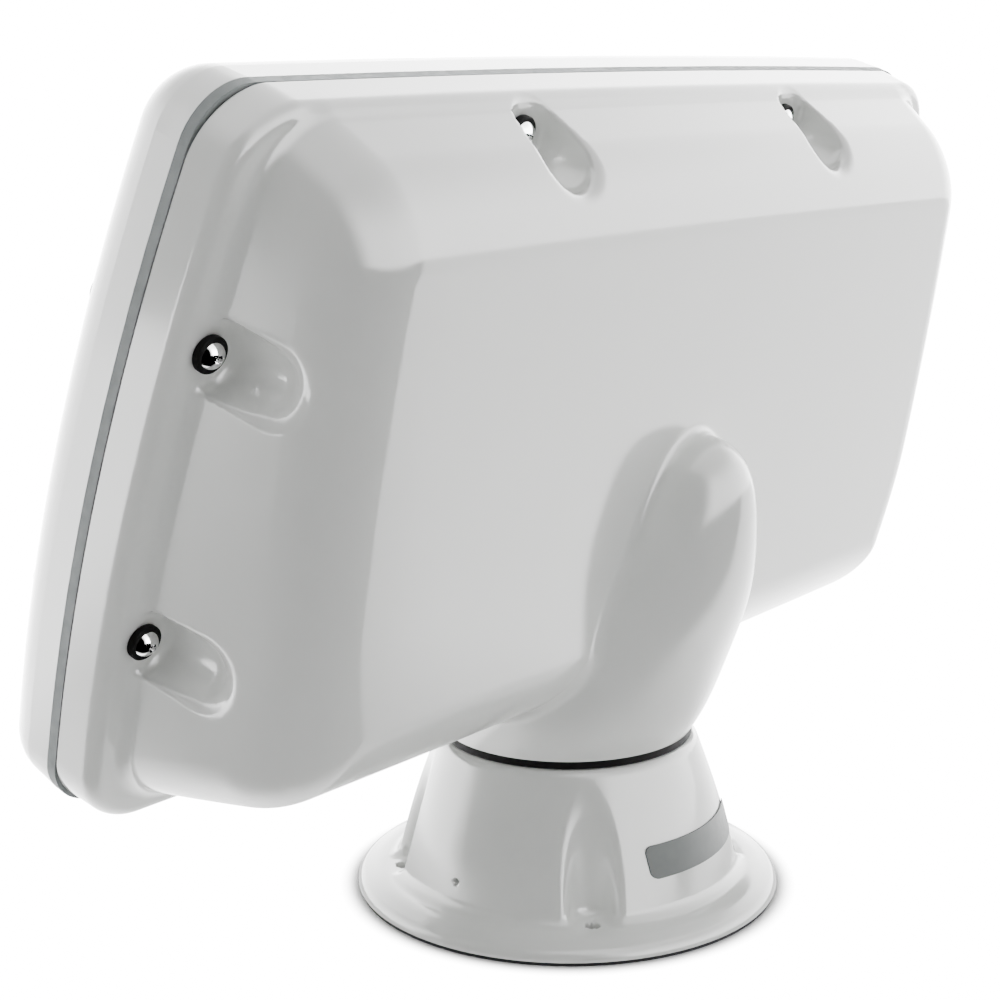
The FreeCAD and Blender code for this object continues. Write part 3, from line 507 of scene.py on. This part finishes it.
def exact_normals(piece, field, planes, skin_faces=None):
    """Corner normals from the field itself, and flat ones on the cut planes. Faces after the
    first skin_faces, if given, keep their own normals."""
    mesh = piece.data
    corners = np.empty(len(mesh.loops), np.int64)
    mesh.loops.foreach_get("vertex_index", corners)
    starts = np.empty(len(mesh.polygons), np.int64)
    mesh.polygons.foreach_get("loop_start", starts)
    totals = np.empty(len(mesh.polygons), np.int64)
    mesh.polygons.foreach_get("loop_total", totals)
    centres = np.empty(len(mesh.polygons) * 3)
    mesh.polygons.foreach_get("center", centres)
    centres = np.repeat(centres.reshape(-1, 3), totals, axis=0)
    places = points_of(mesh)[corners]
    normals = gradient(field, places + (centres - places) * CORNER_INSET)
    for point, normal in planes:
        normal = np.array(normal)
        flat = np.abs((centres - point) @ normal) < ON_PLANE
        normals[flat] = normal
    if skin_faces is not None:
        own = np.empty(len(mesh.polygons) * 3)
        mesh.polygons.foreach_get("normal", own)
        own = np.repeat(own.reshape(-1, 3), totals, axis=0)
        start = starts[skin_faces] if skin_faces < len(starts) else len(corners)
        normals[start:] = own[start:]
    normals /= np.maximum(np.linalg.norm(normals, axis=1), 1e-9)[:, None]
    mesh.polygons.foreach_set("use_smooth", [True] * len(mesh.polygons))
    mesh.normals_split_custom_set(normals.tolist())


def join(pieces):
    """The meshes of several objects as one bmesh. All the objects but the first are removed."""
    shape = bmesh.new()
    for piece in pieces:
        shape.from_mesh(piece.data)
    for piece in pieces[1:]:
        mesh = piece.data
        bpy.data.objects.remove(piece)
        bpy.data.meshes.remove(mesh)
    return shape


def roomy_box(node, margin):
    low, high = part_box(node)
    return [value - margin for value in low], [value + margin for value in high]


def rear_shell():
    low, high = roomy_box("rear_shell", CASE_MARGIN)
    outside = skin_mesh("rear_shell_skin", rear_outside, low, high, SKIN_STEP, SKIN_SHARE)
    inside = skin_mesh("rear_shell_inside", rear_cavity, low, high, INSIDE_STEP, outward=False)
    shape = join([outside, inside])
    parting = CASE_ORIGIN + SHADOW_GAP * CASE_BACK
    planes = [(parting, -CASE_BACK), (np.array([0, 0, NECK_BOTTOM]), np.array([0, 0, -1.0]))]
    for point, normal in planes:
        close_flat(shape, cut_open(shape, point, normal), normal)
    bmesh.ops.triangulate(shape, faces=shape.faces[:])
    shape.to_mesh(outside.data)
    shape.free()

    def either(points):
        return np.maximum(rear_outside(points), -rear_cavity(points))

    exact_normals(outside, either, planes)
    return outside


def parting_tongue():
    """The ring of the rear half that stands in the shadow gap and closes it to view."""
    turns = np.linspace(0, 2 * math.pi, TONGUE_POINTS, endpoint=False)
    start = np.stack([CASE_HALF_WIDTH * np.cos(turns), CASE_HALF_HEIGHT * np.sin(turns),
                      0 * turns], axis=-1)

    def outline(inset):
        def field(points):
            return crowned_outline(points[..., 0], points[..., 1], CASE_HALF_WIDTH - inset,
                                   CASE_HALF_HEIGHT - inset, CASE_HALF_HEIGHT - inset,
                                   CASE_CORNER - inset, SIDE_CROWN)
        return settle(field, start, rounds=8)

    outer, inner = outline(TONGUE_DEPTH), outline(CASE_WALL)
    corners = ((outer, 0), (outer, TONGUE_HEIGHT), (inner, TONGUE_HEIGHT), (inner, 0))
    loops = [from_case(loop[:, 0], loop[:, 1], np.full(TONGUE_POINTS, back))
             for loop, back in corners]
    quads = []
    for side in range(4):
        this_loop, next_loop = side * TONGUE_POINTS, (side + 1) % 4 * TONGUE_POINTS
        for i in range(TONGUE_POINTS):
            j = (i + 1) % TONGUE_POINTS
            quads.append((this_loop + i, this_loop + j, next_loop + j, next_loop + i))
    return new_object("parting_tongue",
                      mesh_from("parting_tongue", np.concatenate(loops), np.array(quads)))


def lathe(shape, profile, segments):
    """Turn a (radius, height) profile about Z, from its open bottom rim to a closed top."""
    turns = [2 * math.pi * i / segments for i in range(segments)]
    rings = [[shape.verts.new((radius * math.cos(a), radius * math.sin(a), height))
              for a in turns] for radius, height in profile]
    for lower, upper in zip(rings, rings[1:]):
        for i in range(segments):
            j = (i + 1) % segments
            shape.faces.new((lower[i], upper[i], upper[j], lower[j]))
    shape.faces.new(list(reversed(rings[-1])))
    return [edge for edge in shape.edges
            if edge.is_boundary and all(corner in rings[0] for corner in edge.verts)]


def base_shell():
    low, high = roomy_box("base_housing", BASE_MARGIN)
    outside = skin_mesh("base_housing_skin", base_outside, low, high, BASE_STEP, SKIN_SHARE)
    shape = join([outside])
    bottom, down = np.array([0, 0, BASE_BOTTOM]), np.array([0, 0, -1.0])
    rim = cut_open(shape, bottom, down)
    skin_faces = len(shape.faces)
    close_flat(shape, rim + lathe(shape, BASE_INSIDE, BASE_TURNS), down)
    bmesh.ops.recalc_face_normals(shape, faces=shape.faces[skin_faces:])
    shape.to_mesh(outside.data)
    shape.free()
    exact_normals(outside, base_outside, [(bottom, down)], skin_faces)
    return outside


# ------------------------------------------------------------------ materials

# Noise is mostly inside its band. The patches turn from one tone to the other inside theirs.
NOISE_BAND = (0.3, 0.7)
PATCH_BAND = (0.35, 0.65)
PATCH_DETAIL = 5.0
HAZE_DETAIL = 6.0
GRAIN_DETAIL = 3.0
GRAIN_STRENGTH = 0.6


def noise(tree, scale, detail, stretch=None):
    """Noise in the piece's own metres: scale is in features per metre, stretched if given."""
    place = tree.nodes.new("ShaderNodeTexCoord").outputs["Object"]
    if stretch is not None:
        mapping = tree.nodes.new("ShaderNodeMapping")
        mapping.inputs["Scale"].default_value = stretch
        tree.links.new(place, mapping.inputs["Vector"])
        place = mapping.outputs["Vector"]
    texture = tree.nodes.new("ShaderNodeTexNoise")
    texture.inputs["Scale"].default_value = scale
    texture.inputs["Detail"].default_value = detail
    tree.links.new(place, texture.inputs["Vector"])
    return texture.outputs["Fac"]


def spread(tree, value, low, high):
    """Noise spread over a range."""
    fit = tree.nodes.new("ShaderNodeMapRange")
    fit.inputs["From Min"].default_value = NOISE_BAND[0]
    fit.inputs["From Max"].default_value = NOISE_BAND[1]
    fit.inputs["To Min"].default_value = low
    fit.inputs["To Max"].default_value = high
    tree.links.new(value, fit.inputs["Value"])
    return fit.outputs["Result"]


def surface(name, colour, shade, patch, roughness, haze, grain, height,
            metallic=0.0, specular=0.5, stretch=None):
    """A finish whose colour falls to a share called shade in patches, whose roughness runs over a
    range in a haze, and whose grain stands up to a height. Patch, haze and grain are features
    per metre."""
    material = bpy.data.materials.new(name)
    material.use_nodes = True
    tree = material.node_tree
    shader = tree.nodes["Principled BSDF"]
    shader.inputs["Metallic"].default_value = metallic
    shader.inputs["Specular IOR Level"].default_value = specular

    tones = tree.nodes.new("ShaderNodeValToRGB")
    tones.color_ramp.elements[0].position = PATCH_BAND[0]
    tones.color_ramp.elements[0].color = (*(part * shade for part in colour), 1)
    tones.color_ramp.elements[1].position = PATCH_BAND[1]
    tones.color_ramp.elements[1].color = (*colour, 1)
    tree.links.new(noise(tree, patch, PATCH_DETAIL), tones.inputs["Fac"])
    tree.links.new(tones.outputs["Color"], shader.inputs["Base Color"])
    tree.links.new(spread(tree, noise(tree, haze, HAZE_DETAIL, stretch), *roughness),
                   shader.inputs["Roughness"])

    bump = tree.nodes.new("ShaderNodeBump")
    bump.inputs["Distance"].default_value = height
    bump.inputs["Strength"].default_value = GRAIN_STRENGTH
    tree.links.new(noise(tree, grain, GRAIN_DETAIL, stretch), bump.inputs["Height"])
    tree.links.new(bump.outputs["Normal"], shader.inputs["Normal"])
    return material


# Turned and drawn metal is marked across its axis.
TURNED = (1.0, 1.0, 14.0)
MATERIALS = {
    "white_gloss": surface("white_gloss_moulding", (0.80, 0.81, 0.79), 0.975, 9, (0.10, 0.16),
                           45, 130, 0.012 * MM),
    "black_foam_rubber": surface("foam_rubber", (0.016, 0.016, 0.017), 0.6, 300, (0.72, 0.95),
                                 900, 1500, 0.25 * MM, specular=0.12),
    "black_seal": surface("moulded_black_rubber", (0.008, 0.008, 0.008), 0.7, 150, (0.45, 0.65),
                          500, 2200, 0.03 * MM, specular=0.03),
    "grey_silicone": surface("grey_silicone_seal", (0.25, 0.268, 0.268), 0.85, 120, (0.5, 0.7),
                             350, 1800, 0.03 * MM, specular=0.15),
    "badge_film": surface("blank_badge_film", (0.105, 0.114, 0.112), 0.9, 90, (0.3, 0.42),
                          400, 2600, 0.015 * MM, specular=0.15),
    "polished_stainless": surface("polished_stainless", (0.76, 0.76, 0.76), 0.85, 260,
                                  (0.05, 0.14), 900, 1400, 0.008 * MM, metallic=1.0),
    "stainless": surface("turned_stainless", (0.62, 0.62, 0.61), 0.85, 120, (0.2, 0.36),
                         500, 900, 0.02 * MM, metallic=1.0, stretch=TURNED),
    "spring_steel": surface("spring_steel", (0.42, 0.41, 0.40), 0.75, 120, (0.28, 0.45),
                            500, 900, 0.02 * MM, metallic=1.0, stretch=TURNED),
    "brass": surface("turned_brass", (0.72, 0.55, 0.25), 0.85, 150, (0.22, 0.38),
                     500, 900, 0.02 * MM, metallic=1.0),
    "acetal": surface("acetal", (0.80, 0.79, 0.74), 0.95, 60, (0.38, 0.5), 200, 1200, 0.02 * MM),
}

for part in frame["record"]["subparts"]:
    node = frame["nodes"][part["node"]]
    node.data.materials.clear()
    node.data.materials.append(MATERIALS[part["material_slot"]])


def place_piece(piece, body, slot):
    """Give a piece its finish and let it ride on a body."""
    piece.data.materials.append(MATERIALS[slot])
    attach(piece, body)


case_skin = rear_shell()
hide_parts("rear_shell")
place_piece(case_skin, "pod", "white_gloss")
place_piece(parting_tongue(), "pod", "white_gloss")

base_skin = base_shell()
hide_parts("base_housing")
place_piece(base_skin, "base", "white_gloss")

# ------------------------------------------------------------------ floor, light and camera
# The camera sees one white all round. Gloss mirrors a studio with whites and darks that are fixed
# in the room, and the diffuse light comes from the room and the softboxes.

def falling(tree, vector, direction, low, high, full, least=0.0):
    """A brightness that falls from full at low to least at high, measured along a direction."""
    along = tree.nodes.new("ShaderNodeVectorMath")
    along.operation = "DOT_PRODUCT"
    along.inputs[1].default_value = direction
    tree.links.new(vector, along.inputs[0])
    fall = tree.nodes.new("ShaderNodeMapRange")
    fall.interpolation_type = "SMOOTHSTEP"
    fall.inputs["From Min"].default_value = low
    fall.inputs["From Max"].default_value = high
    fall.inputs["To Min"].default_value = full
    fall.inputs["To Max"].default_value = least
    tree.links.new(along.outputs["Value"], fall.inputs["Value"])
    return fall.outputs["Result"]


def ring_fade(tree, vector, near, far, least=0.0):
    """From least near the swivel axis up to one away from it."""
    away = tree.nodes.new("ShaderNodeVectorMath")
    away.operation = "LENGTH"
    tree.links.new(vector, away.inputs[0])
    fade = tree.nodes.new("ShaderNodeMapRange")
    fade.interpolation_type = "SMOOTHERSTEP"
    fade.inputs["From Min"].default_value = near
    fade.inputs["From Max"].default_value = far
    fade.inputs["To Min"].default_value = least
    tree.links.new(away.outputs["Value"], fade.inputs["Value"])
    return fade.outputs["Result"]


def combined(tree, operation, first, second):
    both = tree.nodes.new("ShaderNodeMath")
    both.operation = operation
    tree.links.new(first, both.inputs[0])
    tree.links.new(second, both.inputs[1])
    return both.outputs["Value"]


def shown_to(tree, ray, seen, others):
    """One shader for a kind of ray, such as the camera's, and another for the rest."""
    path = tree.nodes.new("ShaderNodeLightPath")
    mix = tree.nodes.new("ShaderNodeMixShader")
    tree.links.new(path.outputs[ray], mix.inputs["Fac"])
    tree.links.new(others, mix.inputs[1])
    tree.links.new(seen, mix.inputs[2])
    return mix.outputs["Shader"]


def floor_material():
    """Pale paper that glows like the background for the camera, and glows for gloss with the studio's
    whites, dimmed near the object by painted shade.
    """
    material = bpy.data.materials.new("floor")
    material.use_nodes = True
    tree = material.node_tree
    paper = tree.nodes["Principled BSDF"]
    paper.inputs["Base Color"].default_value = PAPER
    paper.inputs["Roughness"].default_value = PAPER_ROUGHNESS
    place = tree.nodes.new("ShaderNodeNewGeometry").outputs["Position"]

    glow = tree.nodes.new("ShaderNodeEmission")
    glow.inputs["Strength"].default_value = BACKGROUND_GLOW
    mix = tree.nodes.new("ShaderNodeMixShader")
    tree.links.new(ring_fade(tree, place, *FLOOR_FADE), mix.inputs["Fac"])
    tree.links.new(paper.outputs["BSDF"], mix.inputs[1])
    tree.links.new(glow.outputs["Emission"], mix.inputs[2])

    mirrored = tree.nodes.new("ShaderNodeEmission")
    near_white, left_white = (falling(tree, place, *region) for region in FLOOR_WHITES)
    # Painted shade: the glow shown to gloss is dimmed near the axis, where the object's shadow would
    # fall.
    white = combined(tree, "MULTIPLY", ring_fade(tree, place, *FLOOR_SHADE),
                     combined(tree, "MAXIMUM", near_white, left_white))
    tree.links.new(white, mirrored.inputs["Strength"])
    mirrored_or_paper = shown_to(tree, "Is Glossy Ray", mirrored.outputs["Emission"],
                                 paper.outputs["BSDF"])
    shown = shown_to(tree, "Is Camera Ray", mix.outputs["Shader"], mirrored_or_paper)
    tree.links.new(shown, tree.nodes["Material Output"].inputs["Surface"])
    return material


def add_floor():
    mesh = bpy.data.meshes.new("floor")
    corners = ((-1, -1), (1, -1), (1, 1), (-1, 1))
    mesh.from_pydata([(x * FLOOR_REACH, y * FLOOR_REACH, 0) for x, y in corners], [],
                     [(0, 1, 2, 3)])
    floor = new_object("floor", mesh)
    mesh.materials.append(floor_material())


def add_softbox(name, azimuth, height, distance, size, brightness):
    data = bpy.data.lights.new(name, "AREA")
    data.shape = "RECTANGLE"
    data.size, data.size_y = size
    data.energy = brightness * math.pi * size[0] * size[1]
    light = bpy.data.objects.new(name, data)
    bpy.context.scene.collection.objects.link(light)
    turn = math.radians(azimuth)
    light.location = (distance * math.cos(turn), distance * math.sin(turn), height)
    aim = SOFTBOX_AIM - light.location
    light.rotation_euler = aim.to_track_quat("-Z", "Y").to_euler()
    light.visible_camera = False
    light.visible_glossy = False


def white_background(tree):
    background = tree.nodes.new("ShaderNodeBackground")
    background.inputs["Color"].default_value = WHITE
    return background


def add_world():
    world = bpy.data.worlds.new("studio")
    world.use_nodes = True
    tree = world.node_tree
    room = tree.nodes["Background"]
    room.inputs["Color"].default_value = WHITE
    room.inputs["Strength"].default_value = ROOM_LIGHT
    backdrop, mirrored = white_background(tree), white_background(tree)
    backdrop.inputs["Strength"].default_value = BACKGROUND_GLOW
    direction = tree.nodes.new("ShaderNodeTexCoord").outputs["Generated"]
    white = combined(tree, "MULTIPLY", falling(tree, direction, *ROOM_DARK, 1.0),
                     falling(tree, direction, *CEILING, MIRRORED_ROOM, MIRRORED_CEILING))
    tree.links.new(white, mirrored.inputs["Strength"])
    mirrored_or_room = shown_to(tree, "Is Glossy Ray", mirrored.outputs["Background"],
                                room.outputs["Background"])
    shown = shown_to(tree, "Is Camera Ray", backdrop.outputs["Background"], mirrored_or_room)
    tree.links.new(shown, tree.nodes["World Output"].inputs["Surface"])
    bpy.context.scene.world = world


def add_camera():
    """The camera looks back along an azimuth, counted from -Y to +X, and is rolled a little."""
    level = math.cos(CAMERA_ELEVATION)
    back = Vector((math.sin(CAMERA_AZIMUTH) * level, -math.cos(CAMERA_AZIMUTH) * level,
                   math.sin(CAMERA_ELEVATION)))
    right = Vector((0, 0, 1)).cross(back).normalized()
    up = back.cross(right)
    turned_right = right * math.cos(CAMERA_ROLL) + up * math.sin(CAMERA_ROLL)
    turned_up = up * math.cos(CAMERA_ROLL) - right * math.sin(CAMERA_ROLL)
    data = bpy.data.cameras.new("camera")
    data.sensor_width = CAMERA_SENSOR
    data.lens = CAMERA_LENS
    data.clip_start = CAMERA_NEAR
    camera = bpy.data.objects.new("camera", data)
    bpy.context.scene.collection.objects.link(camera)
    turn = Matrix((turned_right, turned_up, back)).transposed().to_4x4()
    camera.matrix_world = Matrix.Translation(CAMERA_TARGET + back * CAMERA_DISTANCE) @ turn
    bpy.context.scene.camera = camera


add_floor()
for softbox in SOFTBOXES:
    add_softbox(*softbox)
add_world()
add_camera()
